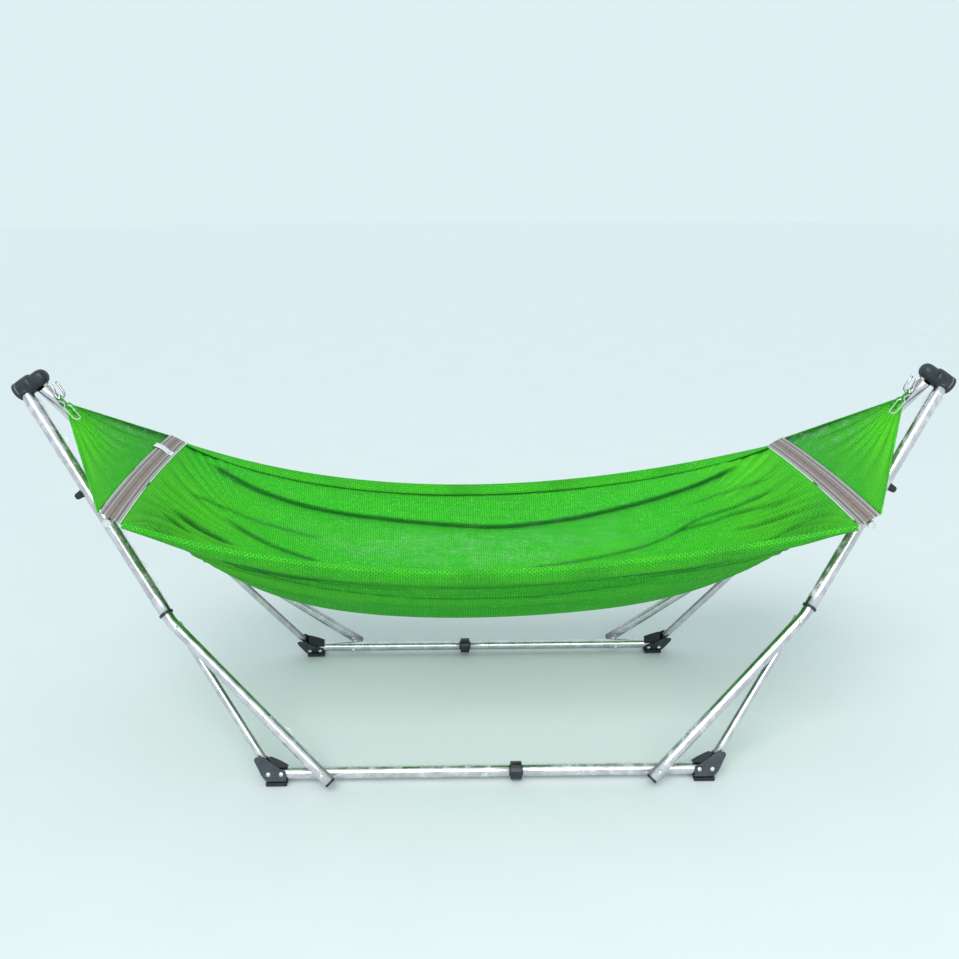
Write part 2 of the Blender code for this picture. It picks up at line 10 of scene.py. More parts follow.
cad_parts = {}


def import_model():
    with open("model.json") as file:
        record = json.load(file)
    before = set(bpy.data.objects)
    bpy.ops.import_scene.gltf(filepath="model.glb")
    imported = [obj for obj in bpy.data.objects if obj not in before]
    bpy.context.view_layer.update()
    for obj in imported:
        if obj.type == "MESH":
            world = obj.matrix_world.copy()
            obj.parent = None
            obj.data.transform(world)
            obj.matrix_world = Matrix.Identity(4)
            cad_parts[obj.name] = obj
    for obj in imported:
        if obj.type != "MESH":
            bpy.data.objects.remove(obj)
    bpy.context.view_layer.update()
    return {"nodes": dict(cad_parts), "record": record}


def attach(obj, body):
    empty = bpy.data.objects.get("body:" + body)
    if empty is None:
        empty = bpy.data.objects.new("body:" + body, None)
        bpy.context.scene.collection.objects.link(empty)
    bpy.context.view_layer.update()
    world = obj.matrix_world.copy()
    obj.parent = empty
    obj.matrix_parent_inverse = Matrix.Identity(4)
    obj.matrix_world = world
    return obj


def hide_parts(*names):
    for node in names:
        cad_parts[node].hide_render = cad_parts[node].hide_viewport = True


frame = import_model()

# ---------------------------------------------------------------- the stand's measures, in metres
# BEND, LEG_END, STRUT_FOOT and RAIL_Z are in a side frame's own plane: x out from the
# middle, y off the plane, z up along it from the head pin
HEAD_HEIGHT = 1.050
HALF_LENGTH = 1.303
LEAN = math.radians(23.33)
HEAD_OFFSET = 0.026
POLE_RADIUS = 0.0175
LEG_RADIUS = 0.016
RAIL_RADIUS = 0.016
STRUT_RADIUS = 0.0115
WALL = 0.0012
BEND = Vector((0.8839, 0.0, -0.6751))
LEG_END = Vector((0.4429, 0.0, -1.1132))
LEG_BEND_RADIUS = 0.120
MOUTH_BACK = 0.030
LEG_INSERT = 0.060
POLE_TOP = {"front": 0.016, "rear": 0.012}    # from the head pin down to the pole's end
RAIL_IN = 0.0413
RAIL_CENTRE_HEIGHT = 0.028
RAIL_END = 0.6263
RAIL_SPLIT = 0.070
STRUT_TOP_SHARE = 0.0386
STRUT_TOP_IN = 0.0287
FOOT_SCREW_X = 0.6138
SECOND_SCREW_X = 0.5780
RAIL_Z = -(HEAD_HEIGHT - RAIL_CENTRE_HEIGHT - RAIL_IN * math.sin(LEAN)) / math.cos(LEAN)
STRUT_TOP = BEND.lerp(LEG_END, STRUT_TOP_SHARE)
STRUT_TOP.y = STRUT_TOP_IN
STRUT_FOOT = Vector((0.6285, RAIL_IN, RAIL_Z + 0.033))
MOUTH_EASE = 0.0006
BRACKET_CHEEK = 0.0199
LOBE_TILT = math.radians(34)
LOBE_CENTRES = {"front": (1.3150, 1.0415), "rear": (1.2740, 1.0665)}
HOOK_X = 1.2225
HOOK_BEND_Z = 1.0225
HOOK_BEND_RADIUS = 0.0135
HOOK_ROD_RADIUS = 0.0035
WORDS = {-1: "left", 1: "right"}    # for each sign of x

# ---------------------------------------------------------------- the hammock's measures
BAND_WIDTH = 0.056
BAND_TILT = math.radians(32)
NET_HALF_WIDTH = 0.405
NET_WAIST = 0.065
RIM_SAG_REAR = 0.118
RIM_SAG_FRONT = 0.152
SAG_SKEW = 0.2
BELLY_DEPTH = 0.282
BELLY_FLATNESS = 5
APEX = Vector((1.204, 0.0, 0.988))
APEX_HALF_WIDTH = 0.012
END_PANEL_SAG = 0.022
BAND_BOW = 0.009
BAND_THICKNESS = 0.0022
STRIP_GAP = 0.002
NET_THICKNESS = 0.0012
RIB_PITCH = 0.0074
OPENING_PITCH = 0.0090
BANDS = {"left": (-0.995, 0.780, math.radians(3.2)), "right": (0.980, 0.755, 0.0)}


# ---------------------------------------------------------------- material graphs
class Graph:
    """A material with a Principled shader, and short calls for the nodes that feed it."""

    def __init__(self, name, roughness=0.5, **sockets):
        self.material = bpy.data.materials.new(name)
        self.material.use_nodes = True
        self.tree = self.material.node_tree
        self.shader = self.tree.nodes["Principled BSDF"]
        self.shader.inputs["Roughness"].default_value = roughness
        for key, value in sockets.items():
            self.shader.inputs[key.replace("_", " ")].default_value = value

    def node(self, kind, *wires, **settings):
        made = self.tree.nodes.new("ShaderNode" + kind)
        for key, value in settings.items():
            setattr(made, key, value)
        for socket, value in zip(made.inputs, wires):
            self.feed(socket, value)
        return made

    def feed(self, socket, value):
        if isinstance(value, bpy.types.NodeSocket):
            self.tree.links.new(value, socket)
        elif value is not None:
            socket.default_value = value

    def math(self, operation, first, second=None):
        return self.node("Math", first, second, operation=operation).outputs[0]

    def noise(self, where, scale, detail=3.0, roughness=0.55):
        made = self.node("TexNoise")
        self.feed(made.inputs["Vector"], where)
        made.inputs["Scale"].default_value = scale
        made.inputs["Detail"].default_value = detail
        made.inputs["Roughness"].default_value = roughness
        return made.outputs["Fac"]

    def place(self, scale=(1.0, 1.0, 1.0)):
        mapping = self.node("Mapping", self.node("TexCoord").outputs["Object"])
        mapping.inputs["Scale"].default_value = scale
        return mapping.outputs[0]

    def uv(self, layer):
        split = self.node("SeparateXYZ", self.node("UVMap", uv_map=layer).outputs[0])
        return split.outputs[0], split.outputs[1]

    def wave(self, along, pitch):
        return self.math("SINE", self.math("MULTIPLY", along, 2 * math.pi / pitch))

    def ramp(self, value, *stops):
        made = self.node("ValToRGB", value)
        band = made.color_ramp
        while len(band.elements) < len(stops):
            band.elements.new(0.5)
        for element, (place, colour) in zip(band.elements, stops):
            element.position = place
            element.color = (*colour, 1.0)
        return made.outputs["Color"]

    def spread(self, value, low, high, first=0.0, last=1.0):
        made = self.node("MapRange", value, low, high, first, last)
        return made.outputs[0]

    def mix(self, share, first, second):
        """Blend of two colours, each a socket or an (r, g, b) tuple."""
        made = self.node("Mix", data_type="RGBA")
        self.feed(made.inputs[0], share)
        for socket, value in ((made.inputs[6], first), (made.inputs[7], second)):
            self.feed(socket, (*value, 1.0) if isinstance(value, tuple) else value)
        return made.outputs[2]

    def bump(self, height, distance, strength=1.0):
        made = self.node("Bump")
        made.inputs["Strength"].default_value = strength
        made.inputs["Distance"].default_value = distance
        self.feed(made.inputs["Height"], height)
        self.feed(self.shader.inputs["Normal"], made.outputs[0])

    def colour(self, value):
        self.feed(self.shader.inputs["Base Color"], value)

    def rough(self, value):
        self.feed(self.shader.inputs["Roughness"], value)


def steel():
    """Polished tube; its base colour is painted dark on the side that faces the net, as a painted
    reflection of the net's shaded underside.
    """
    g = Graph("polished_steel_looks", 0.24, Metallic=1.0)
    smear = g.noise(g.place(), 26.0, 4.0)
    fine = g.noise(g.place(), 420.0, 2.0)
    shade = g.ramp(smear, (0.30, (0.52, 0.51, 0.53)), (0.62, (0.72, 0.71, 0.73)))
    # painted reflection: where the normal points in towards the net, the base colour turns dark
    where = g.node("TexCoord")
    facing = g.node("SeparateXYZ", where.outputs["Normal"]).outputs[0]
    side = g.math("SIGN", g.node("SeparateXYZ", where.outputs["Object"]).outputs[0])
    inward = g.math("MULTIPLY", g.math("MULTIPLY", facing, side), -1.0)
    g.colour(g.mix(g.spread(inward, 0.55, 0.88, 0.0, 0.78), shade, (0.100, 0.088, 0.096)))
    g.rough(g.spread(smear, 0.35, 0.75, 0.20, 0.34))
    g.bump(fine, 0.00008, 0.5)
    return g.material


def zinc():
    g = Graph("zinc_plating_looks", 0.28, Metallic=1.0)
    bloom = g.noise(g.place(), 90.0, 5.0)
    g.colour(g.ramp(bloom, (0.35, (0.66, 0.66, 0.63)), (0.65, (0.84, 0.84, 0.82))))
    g.rough(g.spread(bloom, 0.3, 0.7, 0.20, 0.36))
    g.bump(g.noise(g.place(), 900.0, 2.0), 0.0001, 0.4)
    return g.material


def moulded(name, dark, light, roughness, grain=700.0):
    g = Graph(name, roughness)
    cloud = g.noise(g.place(), 35.0, 5.0, 0.65)
    g.colour(g.ramp(cloud, (0.34, dark), (0.70, light)))
    g.rough(g.spread(cloud, 0.3, 0.7, roughness - 0.06, roughness + 0.08))
    g.bump(g.noise(g.place(), grain, 3.0), 0.00025, 0.6)
    return g.material


NET_UV = "weave"


def knit(name, bright, dark, dots=0.0):
    """Knitted net: fine ribs across the cloth with rows of small openings between them.

    Three values on the mesh steer it: one opens the knit and, as painted shade, darkens and
    cools its green; one darkens it with painted shade in folds and grooves; one brightens it
    with painted light. dots is the strength of the dark spots on the hems.
    """
    g = Graph(name, 0.75, Specular_IOR_Level=0.2)
    u, v = g.uv(NET_UV)
    drift = g.noise(g.place(), 14.0, 2.0)
    u = g.math("ADD", u, g.math("MULTIPLY", drift, 0.010))
    rib = g.wave(u, RIB_PITCH)
    lattice = g.math("MULTIPLY", rib, g.wave(v, OPENING_PITCH))
    sheer_and_shade = g.node("Attribute", attribute_name="sheer_and_shade").outputs["Fac"]
    painted_shade = g.node("Attribute", attribute_name="painted_shade").outputs["Fac"]
    patch = g.spread(g.noise(g.place((1.0, 2.5, 2.5)), 16.0, 5.0, 0.7), 0.30, 0.70, 0.10, 1.20)
    limit = g.spread(g.math("MULTIPLY", sheer_and_shade, patch), 0.0, 1.0, 1.02, 0.08)
    hole = g.spread(g.math("SUBTRACT", lattice, limit), -0.06, 0.10)
    g.feed(g.shader.inputs["Alpha"], g.math("SUBTRACT", 1.0, hole))
    painted_light = g.node("Attribute", attribute_name="painted_light").outputs["Fac"]
    yarn = g.spread(g.math("SUBTRACT", g.math("MULTIPLY", rib, 0.7),
                           g.math("MULTIPLY", lattice, 0.5)), -0.9, 0.9, 0.0, 1.0)
    shade = g.mix(yarn, dark, bright)
    streak = g.noise(g.place((1.6, 9.0, 9.0)), 8.0, 5.0, 0.65)
    shade = g.mix(g.spread(streak, 0.40, 0.72, 0.0, 0.75), shade, (0.028, 0.330, 0.030))
    speck = g.noise(g.place(), 170.0, 2.0, 0.8)
    shade = g.mix(g.spread(speck, 0.52, 0.70, 0.0, 0.60), shade, (0.160, 0.820, 0.050))
    if dots:
        spot = g.math("MULTIPLY", g.wave(u, 0.0130), g.wave(v, 0.0110))
        shade = g.mix(g.spread(spot, 0.05, 0.55, 0.0, dots), shade, (0.010, 0.220, 0.010))
    # painted light: a brighter, yellower green
    shade = g.mix(g.math("MULTIPLY", painted_light, 0.55), shade, (0.130, 0.700, 0.016))
    # painted shade: a cooler, darker green where the knit is thin, most in the valley behind the
    # middle of the bed
    shade = g.mix(g.math("MULTIPLY", sheer_and_shade, 0.50), shade, (0.026, 0.400, 0.036))
    # painted shade: a much darker green in folds, grooves and the shaded front of the bed
    shade = g.mix(g.math("MULTIPLY", painted_shade, 0.90), shade, (0.004, 0.095, 0.014))
    g.colour(shade)
    g.bump(g.math("SUBTRACT", g.math("MULTIPLY", rib, 0.6), g.math("MULTIPLY", lattice, 1.2)),
           0.0010, 0.8)
    return g.material


def webbing():
    g = Graph("striped_webbing_looks", 0.78, Specular_IOR_Level=0.25)
    u, v = g.uv("band")
    pale, mauve, brown, deep = ((0.55, 0.53, 0.52), (0.205, 0.150, 0.155), (0.330, 0.235, 0.215),
                                (0.120, 0.085, 0.085))
    stripes = g.ramp(v, (0.0, pale), (0.11, pale), (0.13, mauve), (0.20, mauve), (0.22, pale),
                     (0.28, pale), (0.30, brown), (0.47, brown), (0.485, deep), (0.515, deep),
                     (0.53, brown), (0.70, brown), (0.72, pale), (0.78, pale), (0.80, mauve),
                     (0.87, mauve), (0.89, pale), (1.0, pale))
    twill = g.math("MULTIPLY", g.wave(u, 0.0024), g.wave(g.math("MULTIPLY", v, BAND_WIDTH), 0.0022))
    mottle = g.noise(g.place(), 60.0, 4.0)
    g.colour(g.mix(g.spread(twill, -1.0, 1.0, 0.0, 0.30),
                   g.mix(g.spread(mottle, 0.3, 0.8, 0.0, 0.25), stripes, (0.62, 0.60, 0.60)),
                   (0.07, 0.05, 0.05)))
    g.bump(twill, 0.0006, 0.8)
    return g.material


def clear_film():
    """Thin crumpled protective film: mostly clear, milky along its creases."""
    g = Graph("clear_film_looks", 0.14, Specular_IOR_Level=0.6)
    milk = g.noise(g.place(), 34.0, 3.0, 0.55)
    g.colour(g.ramp(milk, (0.40, (0.60, 0.55, 0.61)), (0.62, (0.86, 0.86, 0.89))))
    g.feed(g.shader.inputs["Alpha"], g.spread(milk, 0.46, 0.72, 0.07, 0.46))
    g.bump(milk, 0.0012, 0.4)
    return g.material


STEEL, ZINC, FILM = steel(), zinc(), clear_film()
BLACK = moulded("black_plastic_looks", (0.006, 0.011, 0.016), (0.020, 0.029, 0.038), 0.42)
SLATE = moulded("slate_bracket_looks", (0.014, 0.022, 0.030), (0.034, 0.048, 0.060), 0.40, 420.0)
RUBBER = moulded("black_rubber_looks", (0.006, 0.008, 0.009), (0.022, 0.025, 0.027), 0.72, 500.0)
KNIT = knit("green_knit_looks", (0.048, 0.630, 0.013), (0.013, 0.270, 0.009))
HEM = knit("green_hem_looks", (0.058, 0.630, 0.013), (0.016, 0.300, 0.009), 0.80)
LABEL = moulded("blank_label_looks", (0.62, 0.63, 0.66), (0.80, 0.81, 0.83), 0.8, 900.0)
CREAM = moulded("cream_bush_looks", (0.50, 0.44, 0.30), (0.66, 0.60, 0.44), 0.5)
THREAD = moulded("thread_looks", (0.30, 0.27, 0.27), (0.44, 0.41, 0.41), 0.8)
WEBBING = webbing()

LOOKS = {"polished_steel": STEEL, "zinc_steel": ZINC, "black_plastic": BLACK,
         "slate_bracket": SLATE, "black_rubber": RUBBER, "green_net": KNIT,
         "striped_webbing": WEBBING}
for part in frame["record"]["subparts"]:
    for material_slot in frame["nodes"][part["node"]].material_slots:
        material_slot.material = LOOKS[part["material_slot"]]


# ---------------------------------------------------------------- mesh helpers
def link(name, mesh, looks, body, smooth=True):
    """An object from a mesh, with its material, body and material slot."""
    mesh.materials.append(looks)
    for face in mesh.polygons:
        face.use_smooth = smooth
    made = bpy.data.objects.new(name, mesh)
    bpy.context.scene.collection.objects.link(made)
    if body:
        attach(made, body)
    return made


def add(name, bm, looks, body=None, smooth=True):
    mesh = bpy.data.meshes.new(name)
    bm.to_mesh(mesh)
    bm.free()
    return link(name, mesh, looks, body, smooth)


def grid_sheet(name, points, uv, looks, layer, thickness, values=None):
    """A sheet of the hammock through points[row, column], with uv in a layer of that name."""
    rows, columns = points.shape[:2]
    mesh = bpy.data.meshes.new(name)
    index = np.arange(rows * columns).reshape(rows, columns)
    quads = np.stack([index[:-1, :-1], index[:-1, 1:], index[1:, 1:], index[1:, :-1]], -1)
    mesh.from_pydata(points.reshape(-1, 3).tolist(), [], quads.reshape(-1, 4).tolist())
    coordinates = mesh.uv_layers.new(name=layer)
    coordinates.data.foreach_set("uv", uv.reshape(-1, 2)[quads.reshape(-1)].astype("f").ravel())
    for key, array in (values or {}).items():
        attribute = mesh.attributes.new(key, "FLOAT", "POINT")
        attribute.data.foreach_set("value", array.astype("f").ravel())
    made = link(name, mesh, looks, "hammock")
    solid = made.modifiers.new("thickness", "SOLIDIFY")
    solid.thickness = thickness
    solid.offset = 0.0
    return made


def grid(first_values, second_values):
    """Two arrays of the same shape: the first runs down the rows, the second across."""
    return np.meshgrid(first_values, second_values, indexing="ij")


def arc_lengths(points):
    """Metres along the rows and across the columns of a grid of points."""
    along = np.linalg.norm(np.diff(points, axis=0), axis=-1)
    across = np.linalg.norm(np.diff(points, axis=1), axis=-1)
    u, v = np.zeros(points.shape[:2]), np.zeros(points.shape[:2])
    u[1:] = np.cumsum(np.repeat(along.mean(1, keepdims=True), points.shape[1], 1), 0)
    v[:, 1:] = np.cumsum(across, 1)
    v -= v[:, [points.shape[1] // 2]]
    return np.stack([u, v], -1)


def upward_units(vectors):
    """Unit vectors, each turned over where it would point down."""
    units = vectors / np.linalg.norm(vectors, axis=-1, keepdims=True)
    return np.where(units[..., 2:3] < 0, -units, units)


def normals(points):
    return upward_units(np.cross(np.gradient(points, axis=0), np.gradient(points, axis=1)))


def ripple(t, a, count, seed, long_scale, across_scale):
    """Smooth seeded waves, long one way and short the other."""
    random = np.random.RandomState(seed)
    total = np.zeros(np.broadcast(t, a).shape)
    for _ in range(count):
        total += random.uniform(0.4, 1.0) * np.sin(
            random.uniform(0.3, 1.0) * long_scale * t * random.choice([-1, 1])
            + random.uniform(0.4, 1.0) * across_scale * a + random.uniform(0, 6.28))
    return total / count


def frames_along(points):
    """Unit tangents with two steady side directions at each point."""
    tangents = [(points[min(i + 1, len(points) - 1)] - points[max(i - 1, 0)]).normalized()
                for i in range(len(points))]
    side = tangents[0].orthogonal().normalized()
    made = []
    for tangent in tangents:
        side = (side - tangent * side.dot(tangent)).normalized()
        made.append((tangent, side, tangent.cross(side)))
    return made


def skin(bm, rings, close_rings=False):
    """Faces between rings of points; capped at both ends, or joined end to end."""
    loops = [[bm.verts.new(p) for p in ring] for ring in rings]
    pairs = list(zip(loops, loops[1:])) + ([(loops[-1], loops[0])] if close_rings else [])
    for first, second in pairs:
        for i in range(len(first)):
            j = (i + 1) % len(first)
            bm.faces.new((first[i], first[j], second[j], second[i]))
    if not close_rings:
        bm.faces.new(loops[0][::-1])
        bm.faces.new(loops[-1])
    bmesh.ops.recalc_face_normals(bm, faces=bm.faces)


def circle(centre, first, second, radius, sides):
    return [centre + (first * math.cos(2 * math.pi * i / sides)
                      + second * math.sin(2 * math.pi * i / sides)) * radius
            for i in range(sides)]


def rod(bm, points, radius, sides=10):
    """A round rod along points; radius is one value, or a list with one for each point."""
    radii = radius if isinstance(radius, list) else [radius] * len(points)
    skin(bm, [circle(p, s, b, r, sides)
              for p, (_, s, b), r in zip(points, frames_along(points), radii)])


def lathe(bm, outline, origin, axis, sides=40):
    """A turned solid with flat ends: outline is (radius, distance along axis)."""
    axis = axis.normalized()
    first = axis.orthogonal().normalized()
    second = axis.cross(first)
    skin(bm, [circle(origin + axis * h, first, second, r, sides) for r, h in outline])


def between(first, last, count):
    return [first.lerp(last, i / count) for i in range(count + 1)]


def evenly(points, count):
    """The same path at evenly spaced points, and its length."""
    runs = np.cumsum([0.0] + [(b - a).length for a, b in zip(points, points[1:])])
    spots = np.linspace(0, runs[-1], count)
    return [Vector([np.interp(x, runs, [p[k] for p in points]) for k in range(3)])
            for x in spots], float(runs[-1])


# ---------------------------------------------------------------- the net
# t runs from -1 at the left band to 1 at the right one, a from -1 at the front rim to 1 at
# the rear rim, and r from 0 at a band to 1 at its hook
def strip_frame(side):
    """A band's centre, and the directions along it, up across it and off its face."""
    x, z, turn = BANDS[side]
    outward = math.copysign(1.0, x)
    along = np.array([-math.sin(turn), math.cos(turn), 0.0])
    up = np.array([math.cos(turn) * outward * math.cos(BAND_TILT),
                   math.sin(turn) * outward * math.cos(BAND_TILT), math.sin(BAND_TILT)])
    normal = np.cross(along, up)
    return np.array([x, 0.0, z]), along, up, normal * math.copysign(1.0, normal[2])


def strip_point(side, across, reach):
    centre, along, up, _ = strip_frame(side)
    across, reach = np.asarray(across)[..., None], np.asarray(reach)[..., None]
    return centre + along * across * NET_HALF_WIDTH + up * (reach + BAND_BOW * (1 - across ** 2))


def bed_surface(t, a):
    reach = -BAND_WIDTH / 2 - STRIP_GAP
    left, right = strip_point("left", a, reach), strip_point("right", a, reach)
    place = left + (right - left) * ((t + 1) / 2)[..., None]
    rim = RIM_SAG_FRONT + (RIM_SAG_REAR - RIM_SAG_FRONT) * (a + 1) / 2
    place[..., 2] -= rim * (1 - t * t) * (1 - SAG_SKEW * t)
    place[..., 2] -= BELLY_DEPTH * (1 - np.abs(t) ** BELLY_FLATNESS) * (1 - a * a)
    place[..., 1] *= 1 - NET_WAIST / NET_HALF_WIDTH * (1 - t * t)
    return place


def panel_surface(side, r, a):
    start = strip_point(side, a, BAND_WIDTH / 2 + STRIP_GAP)
    tip = np.zeros(start.shape)
    tip[...] = (math.copysign(APEX.x, start[0, 0, 0]), 0.0, APEX.z)
    tip[..., 1] = a * APEX_HALF_WIDTH
    place = start + (tip - start) * r[..., None]
    place[..., 2] -= END_PANEL_SAG * 4 * r * (1 - r) * (1 - a * a)
    return place


def metres_across(t, a):
    """How many metres of cloth one unit of a covers, down the side of the belly."""
    return np.hypot(NET_HALF_WIDTH, 2 * BELLY_DEPTH * a * (1 - np.abs(t) ** BELLY_FLATNESS))


METRES_PER_T = 0.98
FOLD_ROUNDING = 0.04
FOLD_FADE = 0.08
LIP_EDGE = 0.0012
GROOVE_WIDTH = 0.010
CREASE_WIDTH = 0.0045
CREASE_SHADE = 0.020
# each fold: height and reach in metres, the strength of the painted shade in its groove, then (t, a)
# points along it.
# Some points of the rear fold and of those beside the bands were worked out by a scratch program
# from the photo; the others were set by hand.
FOLDS = (
    (0.016, 0.045, 1.0, (-0.93, 0.89), (-0.78, 0.83), (-0.59, 0.81), (-0.31, 0.80),
     (-0.11, 0.78), (0.06, 0.76), (0.29, 0.78), (0.54, 0.82), (0.75, 0.85), (0.90, 0.89)),
    (0.009, 0.020, 0.9, (-0.985, -0.43), (-0.97, -0.37), (-0.91, -0.17), (-0.86, -0.05)),
    (0.010, 0.022, 0.9, (-0.985, -0.24), (-0.97, -0.17), (-0.84, 0.17), (-0.76, 0.26)),
    (0.009, 0.024, 0.8, (-0.86, 0.46), (-0.82, 0.45), (-0.61, 0.44), (-0.50, 0.43)),
    (0.006, 0.022, 0.45, (-0.97, 0.30), (-0.86, 0.55), (-0.66, 0.62), (-0.50, 0.62)),
    (0.007, 0.030, 0.55, (0.12, 0.46), (0.21, 0.47), (0.41, 0.50), (0.59, 0.53), (0.75, 0.61),
     (0.92, 0.46), (0.99, 0.20)),
    (0.007, 0.024, 0.55, (0.62, 0.58), (0.72, 0.55), (0.86, 0.47), (0.97, 0.05), (0.99, -0.04)),
    (0.007, 0.022, 0.50, (0.78, 0.40), (0.86, 0.22), (0.93, -0.04), (0.99, -0.39)),
    (0.006, 0.020, 0.45, (0.70, 0.12), (0.86, -0.10), (0.95, -0.42), (0.99, -0.60)),
    (0.006, 0.020, 0.40, (0.66, 0.74), (0.84, 0.72), (0.95, 0.58), (0.99, 0.46)),
    (0.013, 0.020, 1.0, (-0.95, -0.915), (-0.60, -0.88), (0.0, -0.872), (0.60, -0.88),
     (0.95, -0.915)),
    (0.012, 0.040, 0.9, (-0.86, -0.86), (-0.60, -0.80), (-0.25, -0.765), (0.10, -0.76),
     (0.50, -0.80)),
    (0.006, 0.024, 0.5, (-0.90, -0.90), (-0.66, -0.85), (-0.42, -0.83), (-0.20, -0.83)),
    (0.005, 0.030, 0.35, (-0.40, -0.66), (-0.05, -0.62), (0.35, -0.65)),
    (0.007, 0.015, 0.75, (-0.98, -0.72), (-0.88, -0.78), (-0.70, -0.82), (-0.45, -0.86)),
    (0.006, 0.014, 0.65, (-0.98, -0.58), (-0.90, -0.66), (-0.74, -0.73), (-0.55, -0.76)),
    (0.006, 0.014, 0.60, (-0.97, -0.50), (-0.86, -0.58), (-0.66, -0.62), (-0.45, -0.64)),
    (0.006, 0.015, 0.60, (0.42, -0.84), (0.66, -0.82), (0.85, -0.77), (0.97, -0.70)),
    (0.006, 0.014, 0.55, (0.50, -0.72), (0.72, -0.70), (0.88, -0.64), (0.97, -0.56)),
    (0.005, 0.016, 0.45, (0.30, -0.90), (0.55, -0.88), (0.80, -0.84), (0.95, -0.80)),
)


def fold_path(t, knots):
    """Where a fold runs at each t, with the corners at its points rounded off."""
    shifts = (0.0, -FOLD_ROUNDING, FOLD_ROUNDING)
    return sum(np.interp(np.clip(t + shift, -1, 1), *knots.T) for shift in shifts) / 3


def fold_field(t, a):
    """Offset along the normal, and the painted shade in each point's groove."""
    offset, painted_shade = np.zeros(t.shape), np.zeros(t.shape)
    for height, reach, dark, *points in FOLDS:
        knots = np.array(points)
        path = fold_path(t, knots)
        fade = (np.clip((t - knots[0, 0]) / FOLD_FADE, 0, 1)
                * np.clip((knots[-1, 0] - t) / FOLD_FADE, 0, 1))
        fade = fade * fade * (3 - 2 * fade)
        span = metres_across(t, path)
        slope = np.gradient(path, axis=0) / np.gradient(t, axis=0) * span / METRES_PER_T
        gap = (a - path) * span / np.sqrt(1 + slope ** 2)
        lip = height / (1 + np.exp(-gap / LIP_EDGE)) * np.exp(-np.abs(gap) / reach)
        groove = 0.5 * height * np.exp(-(gap / GROOVE_WIDTH) ** 2) * (gap < 0.004)
        offset += fade * (lip - groove)
        # painted shade: dark along each groove and, more faintly, on the side below its lip
        painted_shade += dark * fade * np.exp(-(gap / CREASE_WIDTH) ** 2)
        painted_shade += 0.25 * dark * fade * np.exp(-np.abs(gap) / CREASE_SHADE) * (gap < 0)
    return offset, np.clip(painted_shade, 0, 1)


def puckers(t, a):
    """Pleats that fan out of the bands: offset along the normal, and painted shade in their grooves.
    """
    # x is how far in from the nearer band a point is, in units of t; the pleats start all
    # along the band and close in on a = meet
    x = 1 - np.abs(t)
    left = np.exp(-x / 0.14)
    meet = np.where(t < 0, 0.45, 0.65)
    line = (a - meet * (1 - left)) / left
    fan = np.exp(-(x / 0.20) ** 2) * np.clip(x / 0.03, 0, 1)
    swell = np.sin(27 * line + 1.7 * np.sin(5 * line + 1.0) + np.where(t < 0, 0.7, 2.1))
    fine = np.sin(61 * line + 2.3 * np.sin(9 * line))
    offset = fan * (0.0030 * swell + 0.0012 * fine)
    # painted shade in the troughs of the pleats
    dark = fan * (0.42 * np.clip(-swell - 0.35, 0, 1) + 0.22 * np.clip(-fine - 0.4, 0, 1))
    # long fine wrinkles over the middle of the bed, with painted shade in their troughs
    along = np.sin(150 * a + 6 * t + 3 * np.sin(4 * t + 7 * a) + 5 * np.sin(11 * a))
    body = np.clip(1 - 1.2 * np.abs(t) ** 3, 0, 1) * (0.5 + 0.5 * np.sin(9 * a + 5 * t))
    offset += 0.0009 * along * body
    dark += 0.16 * body * np.clip(-along - 0.3, 0, 1)
    return offset, dark


def bed():
    """The bed's points, its coordinates in metres, and the values that steer its looks."""
    t, a = grid(np.linspace(-1, 1, 300), np.linspace(-1, 1, 260))
    base = bed_surface(t, a)
    offset, painted_shade = fold_field(t, a)
    pleat, groove = puckers(t, a)
    offset += pleat + 0.0040 * ripple(t, a, 7, 11, 5.0, 26.0)
    offset += 0.0020 * ripple(t, a, 9, 12, 9.0, 70.0)
    ends = np.clip((1 - np.abs(t)) / 0.03, 0, 1)
    points = base + normals(base) * (offset * ends)[..., None]
    # painted shade: the grooves of the folds and pleats, and the front half, which lies in shade
    painted_shade = np.clip(painted_shade + groove + 0.20 * np.clip((-a - 0.15) / 0.3, 0, 1), 0, 1)
    # light shows through in patches and along the valley behind the middle, where painted shade also
    # darkens and cools the green
    valley = np.exp(-((a - 0.60) / 0.13) ** 2) * np.clip(1.15 - np.abs(t + 0.05) * 1.5, 0, 1)
    sheer_and_shade = np.clip(0.30 + 0.5 * ripple(t, a, 6, 21, 4.0, 9.0) + 0.9 * valley, 0, 1) * 0.42
    # painted light: the cloth is painted brighter beside both bands and along two lines near the
    # front rim
    painted_light = 1.3 * np.exp(-((t + 0.95) / 0.20) ** 2) * np.clip(0.9 - a, 0, 1)
    painted_light += 0.7 * np.exp(-((a + 0.93) / 0.06) ** 2) + 0.7 * np.exp(-((t - 0.94) / 0.16) ** 2)
    painted_light += 0.45 * np.exp(-((a + 0.70) / 0.05) ** 2) + 0.30 * ripple(t, a, 6, 23, 6.0, 14.0)
    return points, arc_lengths(base), {"sheer_and_shade": sheer_and_shade, "painted_shade": painted_shade,
                                       "painted_light": np.clip(painted_light, 0, 1)}


